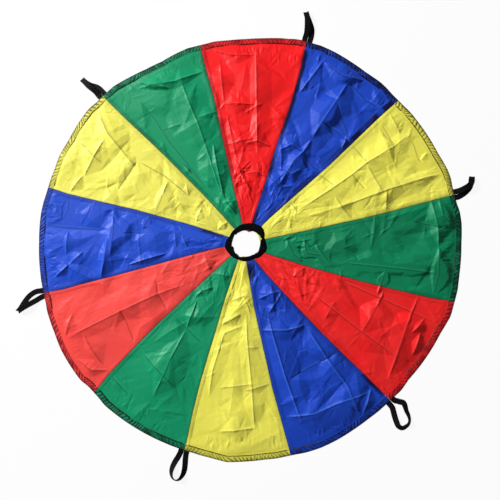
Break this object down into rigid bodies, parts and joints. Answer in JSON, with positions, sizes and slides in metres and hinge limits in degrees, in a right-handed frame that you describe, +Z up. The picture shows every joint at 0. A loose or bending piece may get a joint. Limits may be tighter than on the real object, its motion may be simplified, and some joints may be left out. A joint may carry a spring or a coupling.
{
  "type": "play parachute",
  "caption": "Round play parachute of coloured cloth gores, laid open and flat, with a bound vent hole in the middle and black webbing loop handles round its hemmed rim.",
  "frame": {"origin": "on the ground, under the middle of the vent hole", "axes": "+Z up from the ground, +Y towards the red gore at twelve o'clock, +X towards the green gore at three o'clock"},
  "size_m": [1.9658, 2.049, 0.0222],
  "materials": {
    "cloth_red": "thin shiny taffeta, creased",
    "cloth_blue": "thin shiny taffeta, creased",
    "cloth_yellow": "thin shiny taffeta, creased",
    "cloth_green": "thin shiny taffeta, creased",
    "webbing": "woven webbing, slightly glossy",
    "binding": "gathered tape, matt",
    "thread": "sewing thread"
  },
  "bodies": {
    "canopy": {"panel_red_4": "cloth_red", "panel_blue_5": "cloth_blue", "panel_yellow_6": "cloth_yellow", "panel_green_7": "cloth_green", "panel_red_8": "cloth_red", "panel_blue_9": "cloth_blue", "seam_3_4": "cloth_green", "seam_4_5": "cloth_red", "handle_end_4_5_a": "webbing", "handle_end_4_5_b": "webbing", "handle_stitching_4_5": "thread", "seam_5_6": "cloth_blue", "seam_6_7": "cloth_yellow", "handle_end_6_7_a": "webbing", "handle_end_6_7_b": "webbing", "handle_stitching_6_7": "thread", "seam_7_8": "cloth_green", "seam_8_9": "cloth_red", "handle_end_8_9_a": "webbing", "handle_end_8_9_b": "webbing", "handle_stitching_8_9": "thread", "seam_9_10": "cloth_blue", "vent_binding_fixed": "binding"},
    "canopy_folding": {"panel_red_12": "cloth_red", "panel_blue_1": "cloth_blue", "panel_yellow_2": "cloth_yellow", "panel_green_3": "cloth_green", "panel_yellow_10": "cloth_yellow", "panel_green_11": "cloth_green", "seam_12_1": "cloth_red", "handle_end_12_1_a": "webbing", "handle_end_12_1_b": "webbing", "handle_stitching_12_1": "thread", "seam_1_2": "cloth_blue", "seam_2_3": "cloth_yellow", "handle_end_2_3_a": "webbing", "handle_end_2_3_b": "webbing", "handle_stitching_2_3": "thread", "seam_10_11": "cloth_yellow", "handle_end_10_11_a": "webbing", "handle_end_10_11_b": "webbing", "handle_stitching_10_11": "thread", "seam_11_12": "cloth_green", "vent_binding_folding": "binding"},
    "handle_12_1": {"handle_loop_12_1": "webbing"},
    "handle_2_3": {"handle_loop_2_3": "webbing"},
    "handle_4_5": {"handle_loop_4_5": "webbing"},
    "handle_6_7": {"handle_loop_6_7": "webbing"},
    "handle_8_9": {"handle_loop_8_9": "webbing"},
    "handle_10_11": {"handle_loop_10_11": "webbing"}
  },
  "joints": [
    {"name": "fold_in_half", "type": "hinge", "parent": "canopy", "child": "canopy_folding", "pos_m": [0, 0, 0.0037], "axis": [0.9686, -0.2487, 0], "range_deg": [0, 165]},
    {"name": "swing_12_1", "type": "hinge", "parent": "canopy_folding", "child": "handle_12_1", "pos_m": [0.24543, 0.89901, 0.00075], "axis": [-0.9647, 0.2634, 0], "range_deg": [-90, 85]},
    {"name": "swing_2_3", "type": "hinge", "parent": "canopy_folding", "child": "handle_2_3", "pos_m": [0.88963, 0.2309, 0.00075], "axis": [-0.2512, 0.9679, 0], "range_deg": [-90, 85]},
    {"name": "swing_4_5", "type": "hinge", "parent": "canopy", "child": "handle_4_5", "pos_m": [0.62689, -0.6469, 0.00075], "axis": [0.7181, 0.6959, 0], "range_deg": [-90, 85]},
    {"name": "swing_6_7", "type": "hinge", "parent": "canopy", "child": "handle_6_7", "pos_m": [-0.23765, -0.88691, 0.00075], "axis": [0.9659, -0.2588, 0], "range_deg": [-90, 85]},
    {"name": "swing_8_9", "type": "hinge", "parent": "canopy", "child": "handle_8_9", "pos_m": [-0.87948, -0.2406, 0.00075], "axis": [0.2639, -0.9646, 0], "range_deg": [-90, 85]},
    {"name": "swing_10_11", "type": "hinge", "parent": "canopy_folding", "child": "handle_10_11", "pos_m": [-0.65602, 0.64243, 0.00075], "axis": [-0.6997, -0.7145, 0], "range_deg": [-90, 85]}
  ]
}
